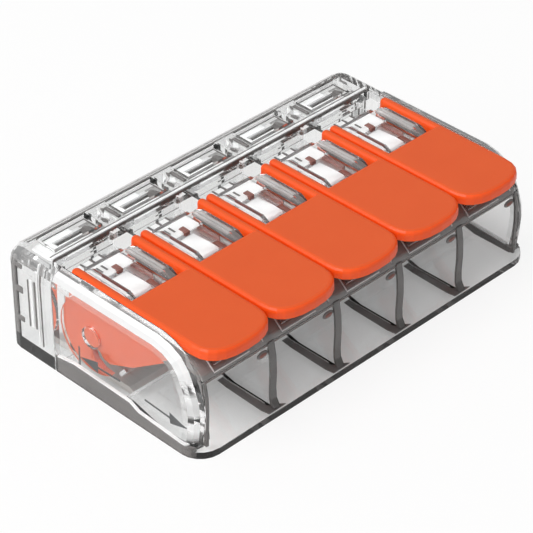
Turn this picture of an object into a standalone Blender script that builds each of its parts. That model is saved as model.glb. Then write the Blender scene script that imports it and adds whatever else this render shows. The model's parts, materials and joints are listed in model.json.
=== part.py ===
"""Five-pole lever wire connector.

A clear plastic housing holds five orange levers side by side. Each lever turns on two short
trunnions and lifts the leg of a steel spring, which otherwise presses a stripped wire onto one
tinned copper busbar. A clear cover snaps on at the rear and closes the housing.

Frame: +X across the poles, -Y is the front where the wires enter, +Z up. The origin is at the
middle of the underside. Shapes are drawn in millimetres, and finish() scales each one to metres.
"""

import math

import bmesh
import bpy
from mathutils import Matrix, Vector

MM = 0.001
SNAP_DIGITS = 4

# Whole connector
WIDTH = 30.0
POLES = 5
PITCH = 5.6
POLE_X = [PITCH * (i - (POLES - 1) / 2) for i in range(POLES)]
LIP_Y = -8.0
LIP_CORNER = 1.6
SEAM_Y = 4.8
REAR_Y = 9.4
WALL_TOP = 7.4
GAP = 0.1
LAP = 0.1

# Housing
FLOOR = 0.5
SIDE_WALL = 1.0
SIDE_EDGE = 0.95
PARTITION = 0.5
PARTITION_TOP = 6.65
PARTITION_FOOT = -7.85
END_PAD_FOOT = -7.2
BAR_BACK = -5.35
BAR_POCKET_HALF = 1.6
BAR_POCKET_Y = (-6.95, -5.75)
BAR_POCKET_FLOOR = 5.75
RAMP_Y = (-4.2, -1.7, -1.1)
ROOF_HALF = 1.95
ROOF_LOW = 6.15
ROOF_TOP = 6.6
RIB_IN = 1.4
RIB_TOP = 7.25
HUMP_FRONT = -0.45
HUMP_REAR = 4.4
DECK_FRONT = 2.9
DECK_TOP = 6.85

# Lever
PIVOT = (1.9, 3.9)
DISC_R = 2.65
SWEEP_R = 2.7
TRUNNION_R = 0.7
TRUNNION_HOLE_R = 0.76
TRUNNION_END = 2.7
PLATE_IN = 2.05
PLATE_OUT = 2.45
LEVER_HALF = 2.74
LEVER_LOW = 6.8
LEVER_TOP = 7.5
LEVER_TIP = -8.25
LEVER_NOSE = 2.0
LEVER_REAR = 4.3
WINDOW_HALF = 2.1
WINDOW_FRONT = -0.55
LEVER_EDGE = 0.3
NOSE_POWER = 0.8
NOSE_STEPS = 12
LEVER_OPEN = math.radians(90)

# Spring
STRIP = 0.25
BEND = (-2.6, 5.4)
BEND_R = 0.45
LEG_ANGLE = math.radians(-48.4)
LEG_LENGTH = 5.05
LEG_START = 0.12
LEG_OPEN = math.radians(37)
SPRING_HALF = 1.7
LUG_AT = 3.4
LUG_LENGTH = 0.7
LUG_END = 2.42
SLOT_R = 0.48
SLOT_STEPS = 4
SLOT_MOUTH = 1.2
TAIL_HALF = 1.1
HOOK_Y = 5.62
HOOK_LOW = 5.0

# Busbar
BAR_LOW = 0.6
BAR_TOP = 1.1
BAR_HALF = 13.05
BAR_FRONT = 4.8
BAR_REAR = 6.4
TONGUE_HALF = 1.85
TONGUE_FRONT = -1.0
FRAME_REAR = 5.3
FRAME_TOP = 5.95
FRAME_WINDOW_HALF = 1.3
FRAME_WINDOW_Z = (1.7, 4.7)
CUT_PAST = 0.5

# Rear cover
COVER_ROOF = 6.5
RIDGE_Y = 5.75
COVER_WALL = 0.9
COVER_EDGE = 1.2
LEDGE_Y = (5.65, 6.3)
LEDGE_Z = (6.05, 6.27)
POCKET_HALF = 1.95
POCKET_Y = (6.55, 8.3)
POCKET_FLOOR = 6.95
TEST_SLOT_HALF = 1.2
TEST_SLOT_Y = (6.95, 7.65)
COVER_RIB_HALF = 0.3
COVER_RIB_Y = (6.7, 8.9)


# ---------------------------------------------------------------- scene and helpers

def clear_scene():
    for old in list(bpy.data.objects):
        bpy.data.objects.remove(old)


def new_collection(name):
    collection = bpy.data.collections.new(name)
    bpy.context.scene.collection.children.link(collection)
    return collection


def new_material(name, color, roughness, metallic=0.0, alpha=1.0):
    material = bpy.data.materials.new(name)
    material.use_nodes = True
    shader = material.node_tree.nodes["Principled BSDF"]
    shader.inputs["Base Color"].default_value = (*color, 1.0)
    shader.inputs["Roughness"].default_value = roughness
    shader.inputs["Metallic"].default_value = metallic
    shader.inputs["Alpha"].default_value = alpha
    material.diffuse_color = (*color, alpha)
    return material


def arc(centre, radius, start, stop, steps):
    """Points on an arc in the (y, z) plane; angles in degrees from +Y towards +Z."""
    points = []
    for i in range(steps + 1):
        angle = math.radians(start + (stop - start) * i / steps)
        points.append((centre[0] + radius * math.cos(angle), centre[1] + radius * math.sin(angle)))
    return points


def snap(bm):
    """Rounds coordinates, so that faces meant to be flush are exactly flush."""
    for vert in bm.verts:
        vert.co = [round(value, SNAP_DIGITS) for value in vert.co]


def object_from_bmesh(name, bm):
    snap(bm)
    mesh = bpy.data.meshes.new(name)
    bm.to_mesh(mesh)
    bm.free()
    shape = bpy.data.objects.new(name, mesh)
    bpy.context.scene.collection.objects.link(shape)
    return shape


def box(name, low, high):
    """A block between two corners given in millimetres."""
    low = Vector(low)
    high = Vector(high)
    bm = bmesh.new()
    bmesh.ops.create_cube(bm, size=1.0)
    bmesh.ops.scale(bm, vec=high - low, verts=bm.verts)
    bmesh.ops.translate(bm, vec=(low + high) / 2, verts=bm.verts)
    return object_from_bmesh(name, bm)


def rod_x(name, centre, radius, x0, x1, sides=24):
    """A round rod along X."""
    bm = bmesh.new()
    bmesh.ops.create_cone(bm, cap_ends=True, segments=sides, radius1=radius, radius2=radius, depth=x1 - x0)
    bmesh.ops.rotate(bm, matrix=Matrix.Rotation(math.radians(90), 3, "Y"), verts=bm.verts)
    bmesh.ops.translate(bm, vec=Vector(((x0 + x1) / 2, *centre)), verts=bm.verts)
    return object_from_bmesh(name, bm)


def plate(name, outline, low, high, along):
    """A flat outline, filled and thickened from low to high along X or Z.

    Along X the outline is a list of (y, z) points, along Z a list of (x, y) points.
    """
    curve = bpy.data.curves.new(name, "CURVE")
    curve.dimensions = "2D"
    curve.fill_mode = "BOTH"
    curve.extrude = (high - low) / 2
    spline = curve.splines.new("POLY")
    spline.points.add(len(outline) - 1)
    for point, (u, v) in zip(spline.points, outline):
        point.co = (u, v, 0.0, 1.0)
    spline.use_cyclic_u = True
    flat = bpy.data.objects.new(name, curve)
    bpy.context.scene.collection.objects.link(flat)
    middle = (low + high) / 2
    if along == "X":
        flat.rotation_euler = (math.radians(90), 0.0, math.radians(90))
        flat.location = (middle, 0.0, 0.0)
    else:
        flat.location = (0.0, 0.0, middle)
    return curve_to_mesh(flat)


def curve_to_mesh(flat):
    """Turns a filled curve into a welded mesh object where the curve stood."""
    bpy.context.view_layer.update()
    evaluated = flat.evaluated_get(bpy.context.evaluated_depsgraph_get())
    mesh = bpy.data.meshes.new_from_object(evaluated)
    mesh.transform(flat.matrix_world)
    bm = bmesh.new()
    bm.from_mesh(mesh)
    bmesh.ops.remove_doubles(bm, verts=bm.verts, dist=0.0001)
    bmesh.ops.dissolve_limit(bm, angle_limit=math.radians(0.1), verts=bm.verts, edges=bm.edges)
    bmesh.ops.recalc_face_normals(bm, faces=bm.faces)
    snap(bm)
    bm.to_mesh(mesh)
    bm.free()
    name = flat.name
    bpy.data.objects.remove(flat)
    shape = bpy.data.objects.new(name, mesh)
    bpy.context.scene.collection.objects.link(shape)
    return shape


def round_edges(shape, wanted, radius, steps):
    """Rounds the edges for which wanted(edge) is true."""
    bm = bmesh.new()
    bm.from_mesh(shape.data)
    edges = [edge for edge in bm.edges if edge.calc_face_angle(0.0) > math.radians(20) and wanted(edge)]
    bmesh.ops.bevel(bm, geom=edges, offset=radius, segments=steps, profile=0.5, affect="EDGES",
                    clamp_overlap=True)
    bm.to_mesh(shape.data)
    bm.free()


def combine(shape, tools, operation):
    """Joins tools to shape or cuts them away, and removes them."""
    for tool in tools:
        modifier = shape.modifiers.new(tool.name, "BOOLEAN")
        modifier.operation = operation
        modifier.solver = "EXACT"
        modifier.object = tool
    bpy.context.view_layer.update()
    evaluated = shape.evaluated_get(bpy.context.evaluated_depsgraph_get())
    mesh = bpy.data.meshes.new_from_object(evaluated)
    shape.modifiers.clear()
    shape.data = mesh
    for tool in tools:
        bpy.data.objects.remove(tool)
    return shape


def finish(shape, name, material, smooth_angle=35):
    """Cleans a finished shape, scales it to metres, gives it its material and returns its mesh."""
    mesh = shape.data
    bm = bmesh.new()
    bm.from_mesh(mesh)
    bmesh.ops.remove_doubles(bm, verts=bm.verts, dist=0.001)
    bmesh.ops.dissolve_limit(bm, angle_limit=math.radians(0.5), verts=bm.verts, edges=bm.edges)
    bmesh.ops.triangulate(bm, faces=bm.faces)
    bmesh.ops.scale(bm, vec=(MM, MM, MM), verts=bm.verts)
    bm.to_mesh(mesh)
    bm.free()
    mesh.name = name
    mesh.materials.clear()
    mesh.materials.append(material)
    mesh.shade_smooth()
    mesh.set_sharp_from_angle(angle=math.radians(smooth_angle))
    return mesh


def place(name, mesh, at=(0.0, 0.0, 0.0)):
    """Puts a finished mesh into the connector's collection, with its origin at a point in mm."""
    part = bpy.data.objects.new(name, mesh)
    part.location = Vector(at) * MM
    part.parent = centre
    parts.objects.link(part)
    return part


def origin_to(mesh, point):
    """Moves a mesh built at x = 0 so that a (y, z) point becomes its origin."""
    mesh.transform(Matrix.Translation(Vector((0.0, -point[0], -point[1])) * MM))


# ---------------------------------------------------------------- housing

def wall_outline():
    """Side wall in (y, z): straight top, then a nose that bows down to the front lip."""
    nose = [(-4.1, WALL_TOP), (-5.1, 7.2), (-6.0, 6.75), (-6.65, 6.0), (-7.1, 5.0), (-7.45, 4.0)]
    front = [(-7.55, 3.0), (-7.45, 1.7), (-7.2, 0.0)]
    return [(SEAM_Y, 0.0), (SEAM_Y, WALL_TOP)] + nose + front


def partition_outline(foot_y):
    """Partition in (y, z): bowed front edge, flared foot, and a round rear clear of the arms."""
    rear = arc(PIVOT, SWEEP_R, -62, 90, 14)
    top = [(1.0, PARTITION_TOP), (-5.6, PARTITION_TOP), (-6.5, 6.3)]
    front = [(-7.3, 5.3), (-7.5, 4.2), (-7.55, 3.0), (-7.5, 1.8), (-7.55, 1.1)]
    foot = [(foot_y, FLOOR + 0.05), (foot_y, FLOOR - LAP)]
    return [(3.4, FLOOR - LAP)] + rear + top + front + foot


def side_wall(side):
    inner = WIDTH / 2 - SIDE_WALL
    outer = WIDTH / 2
    low, high = (inner, outer) if side > 0 else (-outer, -inner)
    wall = plate("side_wall", wall_outline(), low, high, "X")

    def outer_rim(edge):
        middle = (edge.verts[0].co + edge.verts[1].co) / 2
        at_seam = all(abs(v.co.y - SEAM_Y) < 0.01 for v in edge.verts)
        return abs(middle.x - side * outer) < 0.01 and middle.z > 0.3 and not at_seam

    round_edges(wall, outer_rim, SIDE_EDGE, 4)
    return wall


def floor_plate():
    half = WIDTH / 2
    right = arc((half - LIP_CORNER, LIP_Y + LIP_CORNER), LIP_CORNER, 0, -90, 5)
    left = [(-x, y) for x, y in reversed(right)]
    outline = [(half, SEAM_Y)] + right + left + [(-half, SEAM_Y)]
    return plate("floor", outline, 0.0, FLOOR, "Z")


def front_bar():
    """The bar over the wire entries, with its slope under the lever tongues."""
    inner = WIDTH / 2 - SIDE_WALL + LAP
    back = [(BAR_BACK, 5.4), (BAR_BACK, ROOF_TOP)]
    slope = [(-6.1, ROOF_TOP - 0.1), (-7.2, 5.6), (-7.3, 5.1), (-6.7, 5.2)]
    outline = back + slope
    return plate("front_bar", outline, -inner, inner, "X")


def wire_ramp():
    """Guides a wire up onto the busbar."""
    inner = WIDTH / 2 - SIDE_WALL + LAP
    foot, crest, rear = RAMP_Y
    outline = [(foot, FLOOR - LAP), (foot, FLOOR), (crest, BAR_TOP), (rear, BAR_TOP), (rear, FLOOR - LAP)]
    return plate("wire_ramp", outline, -inner, inner, "X")


def hump_outline(top):
    """Rib in the lever's window: its top stays inside the arc that the window's edge sweeps."""
    reach = math.hypot(WINDOW_FRONT - PIVOT[0], LEVER_LOW - PIVOT[1]) - GAP
    half = math.degrees(math.acos((top - PIVOT[1]) / reach))
    front_angle = 90 + math.degrees(math.asin((PIVOT[0] - HUMP_FRONT) / reach))
    rear_angle = 90 - math.degrees(math.asin((HUMP_REAR - PIVOT[0]) / reach))
    rear = arc(PIVOT, reach, rear_angle, 90 - half, 3)
    front = arc(PIVOT, reach, 90 + half, front_angle, 3)
    return [(HUMP_REAR, ROOF_LOW)] + rear + front + [(HUMP_FRONT, ROOF_LOW)]


def pole_roof(x):
    """Roof over one spring: a flat panel, two ribs in the lever's window and a rear deck."""
    panel = box("panel", (x - ROOF_HALF, BAR_BACK - LAP, ROOF_LOW), (x + ROOF_HALF, HUMP_REAR, ROOF_TOP))
    ribs = []
    for low, high in ((-ROOF_HALF, -RIB_IN), (RIB_IN, ROOF_HALF)):
        ribs.append(plate("rib", hump_outline(RIB_TOP), x + low, x + high, "X"))
    deck_low = (x - RIB_IN - LAP, DECK_FRONT, ROOF_TOP - LAP)
    deck_high = (x + RIB_IN + LAP, HUMP_REAR, DECK_TOP)
    return [panel, box("deck", deck_low, deck_high)] + ribs


def bar_pocket(x):
    """Finger pocket in the front bar under one lever tongue."""
    front, back = BAR_POCKET_Y
    low = (x - BAR_POCKET_HALF, front, BAR_POCKET_FLOOR)
    return box("pocket", low, (x + BAR_POCKET_HALF, back, ROOF_TOP + 0.4))


def build_housing(material):
    inner = WIDTH / 2 - SIDE_WALL
    pad = POLE_X[-1] + PITCH / 2 - PARTITION / 2
    joined = [side_wall(1), side_wall(-1), front_bar(), wire_ramp()]
    for i in range(POLES - 1):
        x = (POLE_X[i] + POLE_X[i + 1]) / 2
        outline = partition_outline(PARTITION_FOOT)
        joined.append(plate("partition", outline, x - PARTITION / 2, x + PARTITION / 2, "X"))
    for low, high in ((pad, inner + LAP), (-inner - LAP, -pad)):
        joined.append(plate("end_pad", partition_outline(END_PAD_FOOT), low, high, "X"))
    for x in POLE_X:
        joined += pole_roof(x)
    housing = combine(floor_plate(), joined, "UNION")
    hole = rod_x("pivot_hole", PIVOT, TRUNNION_HOLE_R, -inner - 0.05, inner + 0.05, 20)
    combine(housing, [hole] + [bar_pocket(x) for x in POLE_X], "DIFFERENCE")
    place("housing", finish(housing, "housing", material))


# ---------------------------------------------------------------- rear cover

def build_rear_cover(material):
    half = WIDTH / 2
    front = SEAM_Y + GAP
    cover = box("cover", (-half, front, 0.0), (half, REAR_Y, WALL_TOP))

    def outer_rim(edge):
        at_front = all(v.co.y < front + 0.01 for v in edge.verts)
        at_floor = all(v.co.z < 0.01 for v in edge.verts)
        return not at_front and not at_floor

    round_edges(cover, outer_rim, COVER_EDGE, 4)
    inner = half - SIDE_WALL
    hollow = box("hollow", (-inner, front - 1.0, FLOOR), (inner, REAR_Y - COVER_WALL, COVER_ROOF))
    mouth = box("mouth", (-inner, front - 1.0, FLOOR), (inner, RIDGE_Y, WALL_TOP + 1.0))
    combine(cover, [hollow, mouth], "DIFFERENCE")
    ribs = []
    for x in POLE_X:
        ribs.append(box("ledge", (x - ROOF_HALF, HUMP_REAR + GAP, LEDGE_Z[0]),
                        (x + ROOF_HALF, LEDGE_Y[1], LEDGE_Z[1])))
        ribs.append(box("riser", (x - ROOF_HALF, LEDGE_Y[0], LEDGE_Z[0]),
                        (x + ROOF_HALF, LEDGE_Y[1], COVER_ROOF + 0.05)))
    for i in range(POLES - 1):
        x = (POLE_X[i] + POLE_X[i + 1]) / 2
        low = (x - COVER_RIB_HALF, COVER_RIB_Y[0], FLOOR - LAP)
        ribs.append(box("rib", low, (x + COVER_RIB_HALF, COVER_RIB_Y[1], COVER_ROOF + LAP)))
    combine(cover, ribs, "UNION")
    pockets = []
    for x in POLE_X:
        pockets.append(box("pocket", (x - POCKET_HALF, POCKET_Y[0], POCKET_FLOOR),
                           (x + POCKET_HALF, POCKET_Y[1], WALL_TOP + 1.0)))
        pockets.append(box("test_slot", (x - TEST_SLOT_HALF, TEST_SLOT_Y[0], COVER_ROOF - 0.5),
                           (x + TEST_SLOT_HALF, TEST_SLOT_Y[1], WALL_TOP + 1.0)))
    combine(cover, pockets, "DIFFERENCE")
    place("rear_cover", finish(cover, "rear_cover", material))


# ---------------------------------------------------------------- busbar

def build_busbar(material):
    bar = box("bar", (-BAR_HALF, BAR_FRONT, BAR_LOW), (BAR_HALF, BAR_REAR, BAR_TOP))
    added = []
    holes = []
    for x in POLE_X:
        tongue = [(TONGUE_FRONT, BAR_LOW), (BAR_FRONT + 0.2, BAR_LOW), (BAR_FRONT + 0.2, BAR_TOP),
                  (TONGUE_FRONT + 0.4, BAR_TOP), (TONGUE_FRONT, BAR_TOP - 0.2)]
        added.append(plate("tongue", tongue, x - TONGUE_HALF, x + TONGUE_HALF, "X"))
        frame_low = (x - TONGUE_HALF, BAR_FRONT, BAR_LOW)
        added.append(box("frame", frame_low, (x + TONGUE_HALF, FRAME_REAR, FRAME_TOP)))
        low = (x - FRAME_WINDOW_HALF, BAR_FRONT - CUT_PAST, FRAME_WINDOW_Z[0])
        high = (x + FRAME_WINDOW_HALF, FRAME_REAR + CUT_PAST, FRAME_WINDOW_Z[1])
        holes.append(box("wire_window", low, high))
        low = (x - TAIL_HALF - GAP, BAR_FRONT - CUT_PAST, BEND[1] + BEND_R - STRIP / 2 - GAP)
        high = (x + TAIL_HALF + GAP, FRAME_REAR + CUT_PAST, FRAME_TOP + CUT_PAST)
        holes.append(box("spring_slot", low, high))
    combine(bar, added, "UNION")
    combine(bar, holes, "DIFFERENCE")
    place("busbar", finish(bar, "busbar", material))


# ---------------------------------------------------------------- springs

def strip_outline(path, thickness):
    """Outline of a bent strip: its centre line offset to both sides."""
    left = []
    right = []
    for i, (y, z) in enumerate(path):
        before = path[max(i - 1, 0)]
        after = path[min(i + 1, len(path) - 1)]
        run = Vector((after[0] - before[0], after[1] - before[1])).normalized()
        left.append((y - run.y * thickness / 2, z + run.x * thickness / 2))
        right.append((y + run.y * thickness / 2, z - run.x * thickness / 2))
    return left + right[::-1]


def build_springs(material):
    """The fixed part: a hook behind the busbar's frame, a flat top and the front bend."""
    top = BEND[1] + BEND_R
    leg_angle = math.degrees(LEG_ANGLE) + 270
    hook = [(HOOK_Y, HOOK_LOW)] + arc((HOOK_Y - 0.3, top - 0.3), 0.3, 0, 90, 3) + [(4.2, top)]
    front = [(4.5, top)] + arc(BEND, BEND_R, 90, leg_angle, 9)
    tail = plate("tail", strip_outline(hook, STRIP), -TAIL_HALF, TAIL_HALF, "X")
    spring = plate("spring", strip_outline(front, STRIP), -SPRING_HALF, SPRING_HALF, "X")
    combine(spring, [tail], "UNION")
    mesh = finish(spring, "spring", material)
    for i, x in enumerate(POLE_X):
        place(f"spring_{i + 1}", mesh, (x, 0.0, 0.0))


def build_spring_legs(material):
    """The clamping leg, flat and springing from the bend, with a lug at each side."""
    lug = (LUG_AT - LUG_LENGTH / 2, LUG_AT + LUG_LENGTH / 2)
    half = [(SPRING_HALF, LEG_START), (SPRING_HALF, lug[0]), (LUG_END, lug[0]), (LUG_END, lug[1]),
            (SPRING_HALF, lug[1]), (SPRING_HALF, LEG_LENGTH)]
    outline = half + [(-x, u) for x, u in reversed(half)]
    leg = plate("spring_leg", outline, -BEND_R - STRIP / 2, -BEND_R + STRIP / 2, "Z")
    leg.data.transform(Matrix.Rotation(LEG_ANGLE, 4, "X"))
    mesh = finish(leg, "spring_leg", material)
    for i, x in enumerate(POLE_X):
        place(f"spring_leg_{i + 1}", mesh, (x, *BEND))
    bpy.data.objects.remove(leg)


# ---------------------------------------------------------------- levers

def lever_outline():
    """Top view in (x, y): a rounded tongue in front and two arms beside the window."""
    nose_y = LEVER_TIP + LEVER_NOSE
    nose = []
    for i in range(NOSE_STEPS + 1):
        angle = math.pi * i / NOSE_STEPS
        x = LEVER_HALF * math.copysign(abs(math.cos(angle)) ** NOSE_POWER, math.cos(angle))
        nose.append((x, nose_y - LEVER_NOSE * math.sin(angle) ** NOSE_POWER))
    arm = LEVER_HALF - WINDOW_HALF
    end = arc((WINDOW_HALF + arm / 2, LEVER_REAR - arm / 2), arm / 2 - 0.001, 180, 0, 6)
    right_arm = [(WINDOW_HALF, WINDOW_FRONT)] + end
    left_arm = [(-x, y) for x, y in reversed(right_arm)]
    return left_arm + right_arm + nose


def plate_outline():
    """Side plate in (y, z): a disc round the pivot with a web up to the tongue."""
    disc = arc(PIVOT, DISC_R, 5, -152, 20)
    web = [(-4.75, 5.6), (-5.2, 6.2), (-5.2, LEVER_LOW + LAP)]
    return [(4.1, LEVER_LOW + LAP), (4.4, 6.2)] + disc + web


def lug_path(steps):
    """Centre of the spring's lug as the lever sees it while both turn from closed to open."""
    closed = Vector((LUG_AT, -BEND_R))
    path = []
    for i in range(steps + 1):
        share = i / steps
        leg = LEG_ANGLE + LEG_OPEN * share
        turn = LEVER_OPEN * share
        y = BEND[0] + closed.x * math.cos(leg) - closed.y * math.sin(leg) - PIVOT[0]
        z = BEND[1] + closed.x * math.sin(leg) + closed.y * math.cos(leg) - PIVOT[1]
        path.append((PIVOT[0] + y * math.cos(turn) - z * math.sin(turn),
                     PIVOT[1] + y * math.sin(turn) + z * math.cos(turn)))
    return path


def slot_outline():
    """Slot that the lug slides in: its path, widened, with a round inner end."""
    path = lug_path(SLOT_STEPS)
    out = Vector(path[0]) - Vector(path[1])
    mouth = Vector(path[0]) + out.normalized() * SLOT_MOUTH
    path = [tuple(mouth)] + path
    sides = strip_outline(path, 2 * SLOT_R)
    count = len(path)
    last = Vector(path[-1]) - Vector(path[-2])
    heading = math.degrees(math.atan2(last.y, last.x))
    end = arc(path[-1], SLOT_R, heading + 90, heading - 90, 8)
    return sides[:count - 1] + end + sides[count + 1:]


def build_levers(material):
    lever = plate("tongue", lever_outline(), LEVER_LOW, LEVER_TOP, "Z")

    def top_rim(edge):
        return all(v.co.z > LEVER_TOP - 0.01 for v in edge.verts)

    round_edges(lever, top_rim, LEVER_EDGE, 3)
    added = []
    for side in (-1, 1):
        low, high = sorted((side * PLATE_IN, side * PLATE_OUT))
        added.append(plate("plate", plate_outline(), low, high, "X"))
    combine(lever, added, "UNION")
    combine(lever, [plate("slot", slot_outline(), -LEVER_HALF, LEVER_HALF, "X")], "DIFFERENCE")
    pins = []
    for side in (-1, 1):
        low, high = sorted((side * (PLATE_OUT - 0.05), side * TRUNNION_END))
        pins.append(rod_x("trunnion", PIVOT, TRUNNION_R, low, high, 20))
    combine(lever, pins, "UNION")
    mesh = finish(lever, "lever", material)
    origin_to(mesh, PIVOT)
    for i, x in enumerate(POLE_X):
        place(f"lever_{i + 1}", mesh, (x, *PIVOT))


# ---------------------------------------------------------------- assembly

clear_scene()
parts = new_collection("lever_wire_connector")
centre = bpy.data.objects.new("centre", None)
centre.location.y = -(REAR_Y + LEVER_TIP) / 2 * MM
parts.objects.link(centre)
clear_plastic = new_material("clear_plastic", (0.86, 0.87, 0.87), 0.05, alpha=0.35)
orange_plastic = new_material("orange_plastic", (0.76, 0.12, 0.03), 0.35)
spring_steel = new_material("spring_steel", (0.62, 0.62, 0.63), 0.25, metallic=1.0)
tinned_copper = new_material("tinned_copper", (0.72, 0.71, 0.69), 0.3, metallic=1.0)

build_housing(clear_plastic)
build_rear_cover(clear_plastic)
build_busbar(tinned_copper)
build_springs(spring_steel)
build_spring_legs(spring_steel)
build_levers(orange_plastic)

for leftover in list(bpy.context.scene.collection.objects):
    bpy.data.objects.remove(leftover)
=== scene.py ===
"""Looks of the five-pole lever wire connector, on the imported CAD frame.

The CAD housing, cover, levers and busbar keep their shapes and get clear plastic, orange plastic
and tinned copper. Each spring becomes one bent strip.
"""

import json
import math

import bmesh
import bpy
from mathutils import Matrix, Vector


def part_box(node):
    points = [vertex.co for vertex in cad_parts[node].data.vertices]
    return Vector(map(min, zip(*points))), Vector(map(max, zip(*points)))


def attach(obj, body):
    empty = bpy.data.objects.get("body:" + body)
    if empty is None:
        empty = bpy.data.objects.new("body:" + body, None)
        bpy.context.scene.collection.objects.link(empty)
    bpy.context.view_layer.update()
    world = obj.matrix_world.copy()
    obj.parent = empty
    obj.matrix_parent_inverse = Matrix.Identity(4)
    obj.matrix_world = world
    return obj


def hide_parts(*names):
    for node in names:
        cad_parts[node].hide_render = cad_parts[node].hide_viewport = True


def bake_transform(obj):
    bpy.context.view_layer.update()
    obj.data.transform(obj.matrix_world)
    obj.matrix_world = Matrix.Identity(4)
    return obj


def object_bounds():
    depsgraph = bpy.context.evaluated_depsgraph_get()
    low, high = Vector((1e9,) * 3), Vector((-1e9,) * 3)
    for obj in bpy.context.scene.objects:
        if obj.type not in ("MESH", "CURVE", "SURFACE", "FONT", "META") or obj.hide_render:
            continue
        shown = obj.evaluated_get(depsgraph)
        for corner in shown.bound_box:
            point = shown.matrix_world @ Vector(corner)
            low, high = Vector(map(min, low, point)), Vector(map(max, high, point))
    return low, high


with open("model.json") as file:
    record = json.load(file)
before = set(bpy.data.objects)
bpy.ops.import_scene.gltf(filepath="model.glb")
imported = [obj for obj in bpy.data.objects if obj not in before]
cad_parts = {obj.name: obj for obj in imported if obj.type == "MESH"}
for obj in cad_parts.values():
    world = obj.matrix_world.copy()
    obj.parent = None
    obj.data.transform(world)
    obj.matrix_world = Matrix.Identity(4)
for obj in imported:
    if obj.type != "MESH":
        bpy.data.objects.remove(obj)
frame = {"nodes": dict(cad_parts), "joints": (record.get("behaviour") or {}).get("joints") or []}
cad_low, cad_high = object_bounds()

MM = 0.001
POLES = [joint["pos_m"][0] for joint in frame["joints"] if joint["name"].startswith("lever")]
BEND = Vector(next(j["pos_m"] for j in frame["joints"] if j["name"].startswith("spring")))

# Camera, in degrees and metres
VIEW_AZIMUTH = -45.0
VIEW_ELEVATION = 35.93
VIEW_DISTANCE = 0.15467
VIEW_AIM = Vector((-1.74, -0.83, 3.75)) * MM
VIEW_LENS = 166.6
SENSOR = 36.0


# ---------------------------------------------------------------- node helpers

def new_tree(name):
    """A material with a Principled shader, as (material, nodes, links, shader)."""
    material = bpy.data.materials.new(name)
    material.use_nodes = True
    tree = material.node_tree
    return material, tree.nodes, tree.links, tree.nodes["Principled BSDF"]


def noise(nodes, links, coordinates, scale, detail=2.0, stretch=(1.0, 1.0, 1.0)):
    """A noise value between 0 and 1 over object coordinates in metres."""
    mapping = nodes.new("ShaderNodeMapping")
    mapping.inputs["Scale"].default_value = stretch
    links.new(coordinates, mapping.inputs["Vector"])
    texture = nodes.new("ShaderNodeTexNoise")
    texture.inputs["Scale"].default_value = scale
    texture.inputs["Detail"].default_value = detail
    links.new(mapping.outputs["Vector"], texture.inputs["Vector"])
    return texture.outputs["Fac"]


def spread(nodes, links, value, low, high):
    """Maps a value from 0..1 to low..high."""
    node = nodes.new("ShaderNodeMapRange")
    node.inputs["To Min"].default_value = low
    node.inputs["To Max"].default_value = high
    links.new(value, node.inputs["Value"])
    return node.outputs["Result"]


def add_bump(nodes, links, shader, height, strength, distance):
    """Small relief on a shader; distance in metres."""
    bump = nodes.new("ShaderNodeBump")
    bump.inputs["Strength"].default_value = strength
    bump.inputs["Distance"].default_value = distance
    links.new(height, bump.inputs["Height"])
    links.new(bump.outputs["Normal"], shader.inputs["Normal"])


def object_coordinates(nodes):
    return nodes.new("ShaderNodeTexCoord").outputs["Object"]


def rise(nodes, links, value, start, end):
    """0 up to start, 1 from end, and a straight rise or fall between them."""
    node = nodes.new("ShaderNodeMapRange")
    node.inputs["From Min"].default_value = start
    node.inputs["From Max"].default_value = end
    links.new(value, node.inputs["Value"])
    return node.outputs["Result"]


def calculate(nodes, links, operation, *values):
    """One Math node; each value is a socket or a number."""
    node = nodes.new("ShaderNodeMath")
    node.operation = operation
    for i, value in enumerate(values):
        if isinstance(value, (int, float)):
            node.inputs[i].default_value = value
        else:
            links.new(value, node.inputs[i])
    return node.outputs["Value"]


# ---------------------------------------------------------------- materials

# The rim is the rounded outer edge of the clear shell's sides. A painted white highlight lies along it:
# rougher, less clear plastic whose pale base colour shows, set by position, facing and height bands.
RIM_X = cad_high.x - 0.96 * MM
RIM_BLEND = 0.02 * MM
RIM_HIGHLIGHT_ROUGHNESS = 0.35
RIM_CLEAR = 0.25
# Strength of the painted rim highlight by height, as fractions of the part's height
RIM_BY_HEIGHT = [(0.14, 0.0), (0.19, 0.75), (0.33, 0.8), (0.36, 0.05), (0.39, 0.05), (0.43, 0.9), (0.58, 0.9),
                 (0.63, 0.15), (0.67, 0.15), (0.74, 1.0)]
RIM_ON_COVER = 0.3
SEAM_Y = 4.27 * MM
CLEAR_IOR = 1.5


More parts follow.
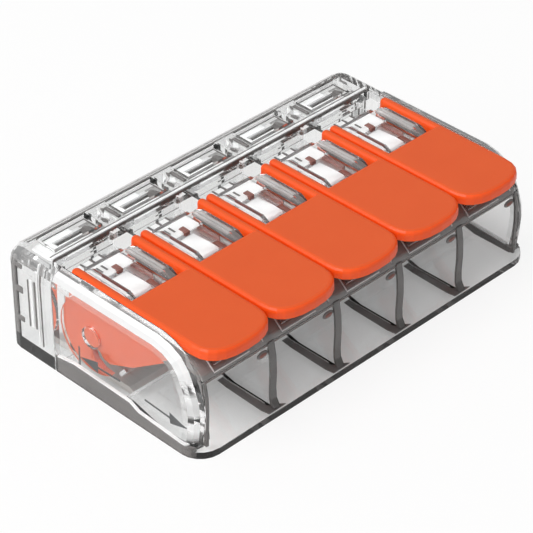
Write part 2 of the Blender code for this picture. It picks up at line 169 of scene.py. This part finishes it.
def rim_highlight_mask(nodes, links):
    """1 where the painted white highlight lies on the rounded outer edges of the side walls, 0 elsewhere."""
    geometry = nodes.new("ShaderNodeNewGeometry")
    place = nodes.new("ShaderNodeSeparateXYZ")
    links.new(geometry.outputs["Position"], place.inputs["Vector"])
    facing = nodes.new("ShaderNodeSeparateXYZ")
    links.new(geometry.outputs["Normal"], facing.inputs["Vector"])
    out = calculate(nodes, links, "ABSOLUTE", place.outputs["X"])
    outer = rise(nodes, links, out, RIM_X, RIM_X + RIM_BLEND)
    turned = calculate(nodes, links, "ABSOLUTE", facing.outputs["X"])
    curved = calculate(nodes, links, "MULTIPLY", rise(nodes, links, turned, 0.10, 0.50),
                       rise(nodes, links, turned, 0.99, 0.82))
    heights = nodes.new("ShaderNodeValToRGB")
    while len(heights.color_ramp.elements) < len(RIM_BY_HEIGHT):
        heights.color_ramp.elements.new(0.5)
    for element, (position, value) in zip(heights.color_ramp.elements, RIM_BY_HEIGHT):
        element.position = position
        element.color = (value, value, value, 1.0)
    links.new(rise(nodes, links, place.outputs["Z"], 0.0, cad_high.z), heights.inputs["Fac"])
    behind = rise(nodes, links, place.outputs["Y"], SEAM_Y, SEAM_Y + RIM_BLEND)
    along = spread(nodes, links, behind, 1.0, RIM_ON_COVER)
    faded = calculate(nodes, links, "MULTIPLY", heights.outputs["Color"], along)
    return calculate(nodes, links, "MULTIPLY", calculate(nodes, links, "MULTIPLY", outer, curved), faded)


def clear_plastic():
    """Polished polycarbonate, with a painted white highlight on the rounded rims of the side walls. Lamps
    pass through it, so that what it encloses is lit.
    """
    material, nodes, links, shader = new_tree("clear_polycarbonate")
    where = object_coordinates(nodes)
    shader.inputs["Base Color"].default_value = (0.95, 0.955, 0.955, 1.0)
    shader.inputs["IOR"].default_value = CLEAR_IOR
    flow = spread(nodes, links, noise(nodes, links, where, 260.0, 3.0, (1.0, 0.35, 1.0)), 0.0, 0.04)
    # The rim mask paints a white highlight: more roughness and less transmission there let the pale base
    # colour show
    rim = rim_highlight_mask(nodes, links)
    links.new(calculate(nodes, links, "MULTIPLY_ADD", rim, RIM_HIGHLIGHT_ROUGHNESS, flow), shader.inputs["Roughness"])
    links.new(spread(nodes, links, rim, 1.0, RIM_CLEAR), shader.inputs["Transmission Weight"])
    pass_lamps(nodes, links, shader, (0.94, 0.945, 0.945))
    return material


def pass_lamps(nodes, links, shader, tint):
    """Lets lamp light through, so that what the clear plastic encloses is lit."""
    path = nodes.new("ShaderNodeLightPath")
    lamp = nodes.new("ShaderNodeBsdfTransparent")
    lamp.inputs["Color"].default_value = (*tint, 1.0)
    mix = nodes.new("ShaderNodeMixShader")
    links.new(path.outputs["Is Shadow Ray"], mix.inputs["Fac"])
    links.new(shader.outputs["BSDF"], mix.inputs[1])
    links.new(lamp.outputs["BSDF"], mix.inputs[2])
    links.new(mix.outputs["Shader"], nodes["Material Output"].inputs["Surface"])


def painted_light_and_ink_tone(name, dark, light, transmission, roughness):
    """Semi-clear plastic in a set colour: painted shade, painted reflections and painted highlights that make
    ribs, edges and hooks of the clear mouldings look grey, brown or white; also the ink of the gauge arrows.
    """
    material, nodes, links, shader = new_tree(name)
    ramp = nodes.new("ShaderNodeValToRGB")
    ramp.color_ramp.elements[0].color = (*dark, 1.0)
    ramp.color_ramp.elements[1].color = (*light, 1.0)
    links.new(noise(nodes, links, object_coordinates(nodes), 900.0, 2.0), ramp.inputs["Fac"])
    links.new(ramp.outputs["Color"], shader.inputs["Base Color"])
    shader.inputs["Transmission Weight"].default_value = transmission
    shader.inputs["Roughness"].default_value = roughness
    shader.inputs["IOR"].default_value = CLEAR_IOR
    pass_lamps(nodes, links, shader, light)
    return material


TONGUE_LOW = cad_high.z - 0.72 * MM
# One orange in two tones of painted shading: darker on flat tops and side plates, brighter and redder on
# edges
EDGE_TONE_PAINTED_REDDER = ((0.82, 0.078, 0.006), (0.88, 0.092, 0.008))
FLAT_TONE_PAINTED_DARKER = ((0.64, 0.083, 0.012), (0.68, 0.093, 0.015))


def orange_plastic():
    """Moulded plastic with a fine matt grain, in painted shading: a darker tone on top and on the side
    plates, a brighter, redder one elsewhere.
    """
    material, nodes, links, shader = new_tree("orange_plastic")
    where = object_coordinates(nodes)
    uneven = noise(nodes, links, where, 420.0, 3.0)
    tones = []
    for dark, light in (EDGE_TONE_PAINTED_REDDER, FLAT_TONE_PAINTED_DARKER):
        ramp = nodes.new("ShaderNodeValToRGB")
        ramp.color_ramp.elements[0].color = (*dark, 1.0)
        ramp.color_ramp.elements[1].color = (*light, 1.0)
        links.new(uneven, ramp.inputs["Fac"])
        tones.append(ramp.outputs["Color"])
    # Mask of flat tops and side plates, which get the darker painted tone
    facing = nodes.new("ShaderNodeSeparateXYZ")
    links.new(nodes.new("ShaderNodeTexCoord").outputs["Normal"], facing.inputs["Vector"])
    place = nodes.new("ShaderNodeSeparateXYZ")
    links.new(where, place.inputs["Vector"])
    sideways = calculate(nodes, links, "ABSOLUTE", facing.outputs["X"])
    side_plate = calculate(nodes, links, "MULTIPLY", sideways,
                           rise(nodes, links, place.outputs["Z"], TONGUE_LOW, TONGUE_LOW - 0.1 * MM))
    flat = calculate(nodes, links, "MAXIMUM", side_plate, facing.outputs["Z"])
    tone = nodes.new("ShaderNodeMix")
    tone.data_type = "RGBA"
    links.new(rise(nodes, links, flat, 0.88, 0.99), tone.inputs["Factor"])
    links.new(tones[0], tone.inputs["A"])
    links.new(tones[1], tone.inputs["B"])
    links.new(tone.outputs["Result"], shader.inputs["Base Color"])
    grain = noise(nodes, links, where, 9000.0, 2.0)
    links.new(spread(nodes, links, grain, 0.30, 0.42), shader.inputs["Roughness"])
    add_bump(nodes, links, shader, grain, 0.12, 0.00002)
    shader.inputs["Specular IOR Level"].default_value = 0.35
    shader.inputs["Subsurface Weight"].default_value = 0.12
    shader.inputs["Subsurface Radius"].default_value = (0.0009, 0.0003, 0.0001)
    shader.inputs["Subsurface Scale"].default_value = 1.0
    return material


def rolled_metal(name, dark, light, roughness, scratch):
    """Rolled strip: fine lines along Y, brighter and darker streaks."""
    material, nodes, links, shader = new_tree(name)
    where = object_coordinates(nodes)
    lines = noise(nodes, links, where, 5200.0, 3.0, (1.0, 0.04, 0.3))
    ramp = nodes.new("ShaderNodeValToRGB")
    ramp.color_ramp.elements[0].color = (*dark, 1.0)
    ramp.color_ramp.elements[1].color = (*light, 1.0)
    links.new(lines, ramp.inputs["Fac"])
    links.new(ramp.outputs["Color"], shader.inputs["Base Color"])
    shader.inputs["Metallic"].default_value = 1.0
    links.new(spread(nodes, links, lines, roughness, roughness + 0.14), shader.inputs["Roughness"])
    add_bump(nodes, links, shader, lines, scratch, 0.00001)
    return material


def paper_floor():
    material, nodes, links, shader = new_tree("white_floor")
    where = object_coordinates(nodes)
    ramp = nodes.new("ShaderNodeValToRGB")
    ramp.color_ramp.elements[0].color = (0.78, 0.775, 0.77, 1.0)
    ramp.color_ramp.elements[1].color = (0.82, 0.815, 0.81, 1.0)
    links.new(noise(nodes, links, where, 40.0, 2.0), ramp.inputs["Fac"])
    links.new(ramp.outputs["Color"], shader.inputs["Base Color"])
    shader.inputs["Roughness"].default_value = 0.9
    glow = nodes.new("ShaderNodeEmission")
    glow.inputs["Strength"].default_value = 1.0
    path = nodes.new("ShaderNodeLightPath")
    mix = nodes.new("ShaderNodeMixShader")
    links.new(spread(nodes, links, path.outputs["Is Camera Ray"], 0.25, 0.85), mix.inputs["Fac"])
    links.new(shader.outputs["BSDF"], mix.inputs[1])
    links.new(glow.outputs["Emission"], mix.inputs[2])
    links.new(mix.outputs["Shader"], nodes["Material Output"].inputs["Surface"])
    return material


# ---------------------------------------------------------------- spring strips

THICKNESS = 0.25 * MM
BEND_R = 0.45 * MM
LEG_ANGLE = math.radians(-48.4)
LEG_LENGTH = 5.05 * MM
LUG_FROM = 3.05 * MM
LUG_TO = 3.75 * MM
STRIP_HALF = 1.7 * MM
TAIL_HALF = 1.1 * MM
LUG_HALF = 2.42 * MM
HOOK_CORNER = 0.3 * MM
NECK_Y = BEND.y + 7.1 * MM
WIDTH_STEP = 0.02 * MM
BEND_STEPS = 14


def spring_stations():
    """Stations along the strip as (y, z, half width), from the rear hook to the leg's tip."""
    tail_low, tail_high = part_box("spring_1")
    top = BEND.z + BEND_R
    hook_y = tail_high.y - THICKNESS / 2
    stations = [(hook_y, tail_low.z, TAIL_HALF), (hook_y, top - HOOK_CORNER, TAIL_HALF)]
    for degrees in (30, 60, 90):
        angle = math.radians(degrees)
        stations.append((hook_y - HOOK_CORNER + HOOK_CORNER * math.cos(angle),
                         top - HOOK_CORNER + HOOK_CORNER * math.sin(angle), TAIL_HALF))
    stations += [(NECK_Y + WIDTH_STEP, top, TAIL_HALF), (NECK_Y, top, STRIP_HALF)]
    last = math.degrees(LEG_ANGLE) + 270
    for i in range(BEND_STEPS + 1):
        angle = math.radians(90 + (last - 90) * i / BEND_STEPS)
        stations.append((BEND.y + BEND_R * math.cos(angle), BEND.z + BEND_R * math.sin(angle), STRIP_HALF))
    run = Vector((math.cos(LEG_ANGLE), math.sin(LEG_ANGLE)))
    start = Vector(stations[-1][:2])
    for u, half in ((LUG_FROM - WIDTH_STEP, STRIP_HALF), (LUG_FROM, LUG_HALF), (LUG_TO, LUG_HALF),
                    (LUG_TO + WIDTH_STEP, STRIP_HALF), (LEG_LENGTH, STRIP_HALF)):
        point = start + run * u
        stations.append((point.x, point.y, half))
    return stations


def spring_mesh(name, x):
    """One strip of spring steel, bent from a flat blank, with square edges."""
    stations = spring_stations()
    bm = bmesh.new()
    rings = []
    for i, (y, z, half) in enumerate(stations):
        before = stations[max(i - 1, 0)]
        after = stations[min(i + 1, len(stations) - 1)]
        run = Vector((after[0] - before[0], after[1] - before[1])).normalized()
        side = Vector((0.0, -run.y, run.x)) * THICKNESS / 2
        middle = Vector((x, y, z))
        across = Vector((half, 0.0, 0.0))
        corners = (middle - across + side, middle + across + side, middle + across - side,
                   middle - across - side)
        rings.append([bm.verts.new(corner) for corner in corners])
    for one, two in zip(rings, rings[1:]):
        for i in range(4):
            bm.faces.new((one[i], one[(i + 1) % 4], two[(i + 1) % 4], two[i]))
    bm.faces.new(rings[0])
    bm.faces.new(rings[-1][::-1])
    bmesh.ops.recalc_face_normals(bm, faces=bm.faces)
    mesh = bpy.data.meshes.new(name)
    bm.to_mesh(mesh)
    bm.free()
    mesh.shade_smooth()
    mesh.set_sharp_from_angle(angle=math.radians(40))
    strip = bpy.data.objects.new(name, mesh)
    bpy.context.scene.collection.objects.link(strip)
    return strip


def make_springs(material):
    for i, x in enumerate(POLES, start=1):
        strip = spring_mesh(f"spring_strip_{i}", x)
        strip.data.materials.append(material)
        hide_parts(f"spring_{i}", f"spring_leg_{i}")
        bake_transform(strip)


# ---------------------------------------------------------------- painted shade, reflections and highlights in the mouldings

# Details are drawn in mm in the CAD's drawing axes, and SHIFT_Y centres them as the CAD is centred
SHIFT_Y = -0.575
INNER_HALF = 13.9
POLES_MM = [x / MM for x in POLES]
BOUNDARIES = [(a + b) / 2 / MM for a, b in zip(POLES, POLES[1:])]


def prism(bm, axis, outline, low, high, edge=0.02):
    """A closed prism in mm: an outline in the other two axes, drawn out along one axis."""
    rings = []
    for depth in (low, high):
        ring = []
        for a, b in outline:
            x, y, z = {"X": (depth, a, b), "Y": (a, depth, b), "Z": (a, b, depth)}[axis]
            ring.append(bm.verts.new(Vector((x, y + SHIFT_Y, z)) * MM))
        rings.append(ring)
    count = len(outline)
    faces = [bm.faces.new(rings[0]), bm.faces.new(rings[1][::-1])]
    for i in range(count):
        after = (i + 1) % count
        faces.append(bm.faces.new((rings[0][i], rings[1][i], rings[1][after], rings[0][after])))
    bmesh.ops.recalc_face_normals(bm, faces=faces)
    edges = {one for face in faces for one in face.edges}
    bmesh.ops.bevel(bm, geom=list(edges), offset=edge * MM, segments=1, affect="EDGES")


def block(bm, low, high, edge=0.02):
    """A block in mm between two corners, with broken edges."""
    outline = [(low[0], low[1]), (high[0], low[1]), (high[0], high[1]), (low[0], high[1])]
    prism(bm, "Z", outline, low[2], high[2], edge)


def ring_arc(centre, radius, start, stop, steps):
    """Points on an arc in mm; angles in degrees."""
    points = []
    for i in range(steps + 1):
        angle = math.radians(start + (stop - start) * i / steps)
        points.append((centre[0] + radius * math.cos(angle), centre[1] + radius * math.sin(angle)))
    return points


def band(centre, inner, outer, start, stop, steps):
    """The outline of a curved strip between two radii."""
    return ring_arc(centre, outer, start, stop, steps) + ring_arc(centre, inner, stop, start, steps)


def pebble(bm, centre, radii):
    """A small smooth lens."""
    made = bmesh.ops.create_icosphere(bm, subdivisions=3, radius=1.0)
    for vert in made["verts"]:
        x, y, z = (vert.co[i] * radii[i] + centre[i] for i in range(3))
        vert.co = Vector((x, y + SHIFT_Y, z)) * MM


def add_detail(name, bm, material):
    """Turns a bmesh into a piece on the fixed body."""
    mesh = bpy.data.meshes.new(name)
    bm.to_mesh(mesh)
    bm.free()
    mesh.shade_smooth()
    mesh.set_sharp_from_angle(angle=math.radians(35))
    mesh.materials.append(material)
    piece = bpy.data.objects.new(name, mesh)
    bpy.context.scene.collection.objects.link(piece)
    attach(piece, "body")


def cover_details(painted_dark, pale, white_glint):
    """Painted shade, reflections and highlights that draw the ridge, pocket frames and side ribs of the rear
    cover.
    """
    dark = bmesh.new()
    light = bmesh.new()
    white = bmesh.new()
    # The cover ridge as bands of painted dark and pale reflection, with a painted white highlight along the
    # top
    prism(dark, "X", band((8.2, 6.2), 1.07, 1.17, 40, 52, 3), -13.8, 13.8)
    prism(light, "X", band((8.2, 6.2), 1.07, 1.17, 53, 72, 4), -13.8, 13.8)
    prism(dark, "X", band((8.2, 6.2), 1.10, 1.17, 80, 87, 2), -13.8, 13.8)
    block(dark, (-INNER_HALF, 5.77, 7.2), (INNER_HALF, 5.84, 7.38))
    block(white, (-INNER_HALF, 5.87, 7.25), (INNER_HALF, 6.08, 7.38), 0.05)
    block(dark, (-INNER_HALF, 6.11, 7.28), (INNER_HALF, 6.17, 7.38))
    # Pocket frames: painted dark lines around painted white fill
    for x in POLES_MM:
        for low, high in (((-1.93, 6.57), (1.93, 6.63)), ((-1.93, 8.22), (1.93, 8.28)),
                          ((-1.93, 6.63), (-1.87, 8.22)), ((1.87, 6.63), (1.93, 8.22))):
            block(dark, (x + low[0], low[1], 6.80), (x + high[0], high[1], 6.93))
        block(white, (x - 1.85, 6.66, 6.80), (x + 0.5, 6.92, 6.93))
        block(white, (x - 1.85, 7.68, 6.80), (x + 0.5, 8.18, 6.93))
        block(white, (x - 1.85, 6.95, 6.80), (x - 1.25, 7.65, 6.93))
        # Painted white under the test slot, which blocks the view through it
        block(white, (x - 2.3, 6.4, 6.33), (x + 1.3, 8.2, 6.44), 0.05)
        block(light, (x + 1.35, 6.5, 6.33), (x + 2.3, 8.2, 6.44), 0.05)
        prism(dark, "Z", [(x + 0.75, 6.9), (x + 1.5, 6.75), (x + 1.7, 7.1), (x + 1.45, 7.7), (x + 1.0, 7.6)],
              6.82, 6.93)
        block(dark, (x + 0.5, 5.9, 6.95), (x + 1.9, 6.06, 7.2), 0.05)
    for x in BOUNDARIES:
        prism(dark, "Y", ring_arc((x + 0.62, 6.9), 0.16, 0, 360, 10)[:-1], 6.6, 7.95)
        prism(white, "Z", [(x - 0.5, 7.4), (x - 0.1, 7.55), (x + 0.1, 8.1), (x - 0.2, 7.75)], 6.7, 7.2)
        prism(white, "Z", [(x - 0.1, 6.7), (x + 0.3, 7.2), (x + 0.1, 7.45), (x - 0.25, 7.1)], 6.7, 7.25)
        prism(dark, "Z", [(x - 0.3, 6.6), (x - 0.2, 6.95), (x - 0.35, 7.3), (x - 0.42, 6.95)], 6.7, 7.1)
        prism(dark, "Z", [(x + 0.15, 7.6), (x + 0.4, 7.75), (x + 0.3, 8.05)], 6.8, 7.2)
    # Side ribs of the cover as painted dark and white lines
    for side in (-1, 1):
        low, high = sorted((side * 14.2, side * 14.4))
        for y0, y1, z0, z1 in ((8.5, 8.8, 0.8, 6.5), (7.95, 8.5, 5.9, 6.2), (7.95, 8.5, 4.1, 4.6),
                               (7.95, 8.5, 1.9, 2.3), (7.36, 7.46, 1.9, 5.5), (6.72, 6.86, 2.0, 5.6),
                               (6.2, 6.3, 0.9, 6.9)):
            block(dark, (low, y0, z0), (high, y1, z1), 0.04)
        block(white, (low, 6.95, 2.0), (high, 7.25, 5.6), 0.04)
        block(white, (low, 6.45, 1.0), (high, 6.6, 6.8), 0.04)
    add_detail("cover_painted_shade", dark, painted_dark)
    add_detail("cover_painted_pale_reflections", light, pale)
    add_detail("cover_painted_highlights", white, white_glint)


def front_edge(foot_y):
    """A strip just behind the bowed front edge of a partition, in (y, z), for a painted dark line there."""
    outer = [(-7.27, 5.2), (-7.47, 4.2), (-7.52, 3.0), (-7.47, 1.8), (-7.5, 1.1), (foot_y, 0.56)]
    return outer + [(foot_y + 0.3, 0.56)] + [(y + 0.14, z) for y, z in reversed(outer[:-1])]


def housing_details(painted_dark, shaded_bar, pale, white_glint, lever_shade_reflection, ink):
    """Painted shade, reflections and highlights that draw the window, front bar, partition and sill shapes of
    the housing, and the gauge arrows.
    """
    dark = bmesh.new()
    middle = bmesh.new()
    light = bmesh.new()
    white = bmesh.new()
    brown = bmesh.new()
    for x in POLES_MM:
        # Inside each window: a painted white highlight of the spring's bend, painted lever reflections, and
        # painted dark and pale rail lines
        lens = [(0.2, 6.58), (2.6, 6.58), (2.5, 6.74), (1.0, 6.84), (0.3, 6.80)]
        prism(white, "X", lens, x - 1.3, x + 0.25, 0.05)
        block(brown, (x - 0.2, 2.75, 6.5), (x + 0.2, 3.4, 6.84))
        block(brown, (x + 1.28, 1.3, 5.75), (x + 1.36, 3.75, 6.57))
        prism(brown, "X", [(-0.1, 6.58), (1.1, 6.58), (0.9, 6.72), (0.0, 6.7)], x + 0.45, x + 0.8)
        block(white, (x - 1.3, 2.95, 6.62), (x + 1.2, 4.2, 6.7), 0.03)
        block(dark, (x + 1.44, -0.28, 6.62), (x + 1.9, 0.75, 7.0), 0.08)
        block(dark, (x + 1.44, 0.7, 6.64), (x + 1.54, 3.6, 6.86), 0.03)
        block(light, (x + 1.58, 0.6, 6.7), (x + 1.86, 4.0, 7.1), 0.1)
        block(dark, (x - 1.9, -0.2, 6.98), (x - 1.85, 4.0, 7.05), 0.01)
        block(white, (x - 1.8, 0.2, 6.7), (x - 1.56, 4.0, 7.0), 0.05)
        block(dark, (x - 1.05, 3.3, 6.78), (x - 0.9, 3.9, 6.84))
        block(dark, (x - 0.65, 3.3, 6.78), (x - 0.5, 3.9, 6.84))
        for start in (-1.5, -0.75, 0.0):
            block(white, (x + start, 4.65, 6.2), (x + start + 0.5, 5.4, 6.3), 0.03)
            block(dark, (x + start + 0.55, 4.6, 6.2), (x + start + 0.68, 5.5, 6.3), 0.03)
        block(dark, (x - 1.35, 4.25, 6.7), (x + 1.35, 4.36, 6.84), 0.03)
        block(white, (x - 1.8, -7.21, 5.40), (x + 1.1, -7.14, 5.49), 0.01)
        lip_side = [(-7.14, 5.50), (-7.14, 5.60), (-6.3, 6.30), (-6.3, 6.20)]
        prism(white, "X", lip_side, x - 1.85, x - 1.76, 0.01)
        prism(white, "X", lip_side, x + 2.2, x + 2.29, 0.01)
        # Lens-shaped nub at each partition: a painted dark outline with a painted lever reflection inside
        pebble(dark, (x + 2.1, -7.26, 4.66), (0.46, 0.10, 0.26))
        pebble(brown, (x + 2.1, -7.33, 4.66), (0.30, 0.08, 0.15))
    # The front bar under the levers, in painted shade
    low_bar = [(-7.12, 5.18), (-7.05, 5.5), (-6.9, 5.62), (-5.6, 5.62), (-5.6, 5.45), (-6.7, 5.3)]
    prism(middle, "X", low_bar, -INNER_HALF, INNER_HALF)
    slope = [(-6.95, 5.6), (-6.12, 6.3), (-5.6, 6.4), (-5.6, 5.6)]
    edges = [-INNER_HALF] + [x + side for x in POLES_MM for side in (-1.66, 1.66)] + [INNER_HALF]
    for start, stop in zip(edges[::2], edges[1::2]):
        prism(middle, "X", slope, start, stop)
    # Partition feet and front edges as painted dark lines, with a pale painted highlight
    for x in BOUNDARIES:
        foot = [(x - 0.75, -7.9), (x + 0.7, -7.88), (x + 0.27, -7.5), (x - 0.26, -7.2), (x - 0.28, -3.4),
                (x - 0.75, -3.4), (x - 0.85, -7.3)]
        prism(dark, "Z", foot, 0.48, 0.54, 0.01)
        prism(light, "Z", [(x - 0.27, -3.4), (x - 0.27, -7.0), (x - 0.21, -7.0), (x - 0.21, -3.4)], 0.52, 0.6,
              0.01)
        prism(dark, "X", front_edge(-7.82), x - 0.23, x + 0.23, 0.01)
    for low, high in ((-13.98, -13.77), (13.77, 13.98)):
        prism(dark, "X", front_edge(-7.5), low, high, 0.01)
    # Each side wall's sill: a band of painted shade along its foot, with a painted highlight strip above it
    sill = [(4.7, 0.03), (4.7, 1.05), (3.2, 1.3), (-1.8, 1.2), (-2.6, 0.85), (-7.1, 0.6), (-7.1, 0.03)]
    bright = [(4.7, 1.1), (4.7, 1.22), (3.2, 1.47), (-1.8, 1.37), (-2.6, 1.0), (-6.6, 0.77), (-6.6, 0.67),
              (-2.6, 0.9), (-1.8, 1.25), (3.2, 1.35)]
    for side in (-1, 1):
        low, high = sorted((side * 14.4, side * 14.85))
        prism(dark, "X", sill, low, high, 0.01)
        prism(white, "X", bright, low, high, 0.01)
    marks = bmesh.new()
    for outline in ([(2.46, 1.75), (2.58, 1.75), (2.58, 3.16), (2.46, 3.16)],
                    [(2.4, 2.42), (0.85, 2.85), (0.85, 2.52), (-1.15, 2.6), (-1.15, 2.46), (0.85, 2.38),
                     (0.85, 2.02)],
                    [(-3.3, 2.42), (-5.45, 2.3), (-5.45, 2.62), (-6.9, 2.2), (-5.5, 1.82), (-5.45, 2.16),
                     (-3.3, 2.28)]):
        prism(marks, "X", outline, -14.99, -14.93, 0.005)
    add_detail("housing_painted_shade", dark, painted_dark)
    add_detail("housing_bar_painted_shade", middle, shaded_bar)
    add_detail("housing_painted_pale_reflections", light, pale)
    add_detail("housing_painted_highlights", white, white_glint)
    add_detail("housing_brown_details", brown, lever_shade_reflection)
    add_detail("gauge_arrows", marks, ink)


# ---------------------------------------------------------------- camera, lights and floor

WORLD_STRENGTH = 0.62
FLOOR_HALF = 1.2
FLOOR_DROP = 0.02 * MM


def look_at(thing, target):
    thing.rotation_euler = (target - thing.location).to_track_quat("-Z", "Y").to_euler()


def direction(azimuth, elevation):
    """Unit vector towards a viewer: azimuth 0 stands in front, on the -Y side."""
    a = math.radians(azimuth)
    e = math.radians(elevation)
    return Vector((math.sin(a) * math.cos(e), -math.cos(a) * math.cos(e), math.sin(e)))


def make_camera():
    camera = bpy.data.objects.new("camera", bpy.data.cameras.new("camera"))
    bpy.context.scene.collection.objects.link(camera)
    camera.location = VIEW_AIM + direction(VIEW_AZIMUTH, VIEW_ELEVATION) * VIEW_DISTANCE
    look_at(camera, VIEW_AIM)
    camera.data.lens = VIEW_LENS
    camera.data.sensor_width = SENSOR
    camera.data.clip_start = 0.01
    bpy.context.scene.camera = camera


def area_light(name, azimuth, elevation, distance, size, power):
    """A rectangular lamp that points at the middle of the part."""
    source = bpy.data.lights.new(name, "AREA")
    source.shape = "RECTANGLE"
    source.size, source.size_y = size
    source.energy = power
    lamp = bpy.data.objects.new(name, source)
    bpy.context.scene.collection.objects.link(lamp)
    lamp.location = direction(azimuth, elevation) * distance
    look_at(lamp, Vector((0.0, 0.0, 0.0)))


def make_world():
    """A pale studio: bright above, darker around the horizon, so that clear edges draw grey lines."""
    world = bpy.data.worlds.new("studio")
    bpy.context.scene.world = world
    world.use_nodes = True
    nodes = world.node_tree.nodes
    links = world.node_tree.links
    background = nodes["Background"]
    where = nodes.new("ShaderNodeTexCoord")
    split = nodes.new("ShaderNodeSeparateXYZ")
    links.new(where.outputs["Generated"], split.inputs["Vector"])
    ramp = nodes.new("ShaderNodeValToRGB")
    ramp.color_ramp.elements[0].position = 0.0
    ramp.color_ramp.elements[0].color = (0.10, 0.10, 0.10, 1.0)
    ramp.color_ramp.elements[1].position = 0.55
    ramp.color_ramp.elements[1].color = (1.0, 1.0, 1.0, 1.0)
    links.new(split.outputs["Z"], ramp.inputs["Fac"])
    links.new(ramp.outputs["Color"], background.inputs["Color"])
    background.inputs["Strength"].default_value = WORLD_STRENGTH


def make_floor():
    mesh = bpy.data.meshes.new("floor")
    bm = bmesh.new()
    bmesh.ops.create_grid(bm, x_segments=1, y_segments=1, size=FLOOR_HALF)
    bm.to_mesh(mesh)
    bm.free()
    floor = bpy.data.objects.new("floor", mesh)
    floor.location.z = -FLOOR_DROP
    mesh.materials.append(paper_floor())
    bpy.context.scene.collection.objects.link(floor)


# ---------------------------------------------------------------- assembly

make_camera()
make_world()
make_floor()
area_light("key", -110, 60, 0.5, (0.30, 0.30), 1.5)
area_light("fill", -90, 25, 0.5, (0.35, 0.35), 0.8)

clear = clear_plastic()
orange = orange_plastic()
steel = rolled_metal("spring_steel", (0.78, 0.78, 0.79), (0.92, 0.92, 0.93), 0.22, 0.12)
tinned = rolled_metal("tinned_copper", (0.60, 0.56, 0.53), (0.76, 0.73, 0.70), 0.24, 0.3)
finishes = {"housing": clear, "rear_cover": clear, "busbar": tinned}
for number in range(1, len(POLES) + 1):
    finishes[f"lever_{number}"] = orange
for node, finish in finishes.items():
    slots = frame["nodes"][node].material_slots
    slots[0].material = finish
make_springs(steel)
# Grey: painted shade and painted dark reflections along edges, ribs, sills and under the levers
dark_painted_tone = painted_light_and_ink_tone("painted_shade_and_dark_reflections", (0.16, 0.149, 0.144), (0.24, 0.226, 0.220), 0.35, 0.22)
# Mid grey: painted shade on the front bar under the levers
bar_shade_tone = painted_light_and_ink_tone("painted_bar_shade", (0.30, 0.284, 0.276), (0.42, 0.40, 0.39), 0.4, 0.22)
# Pale grey: painted reflections and highlights on the cover ridge, the window rails and the partition feet
pale_reflection_tone = painted_light_and_ink_tone("painted_pale_reflections", (0.42, 0.41, 0.405), (0.62, 0.61, 0.60), 0.45, 0.2)
# White: painted highlights and bright reflections in the clear mouldings
white_highlight_tone = painted_light_and_ink_tone("painted_white_highlights", (0.90, 0.90, 0.90), (0.98, 0.98, 0.98), 0.25, 0.3)
# Brown: painted reflections of the orange levers, seen in shade through the clear plastic
lever_reflection_tone = painted_light_and_ink_tone("painted_orange_reflections", (0.20, 0.075, 0.058), (0.32, 0.125, 0.10), 0.25, 0.25)
ink_tone = painted_light_and_ink_tone("grey_ink", (0.055, 0.06, 0.062), (0.075, 0.08, 0.082), 0.0, 0.5)
cover_details(dark_painted_tone, pale_reflection_tone, white_highlight_tone)
housing_details(dark_painted_tone, bar_shade_tone, pale_reflection_tone, white_highlight_tone, lever_reflection_tone, ink_tone)

bpy.context.scene.view_settings.view_transform = "Standard"
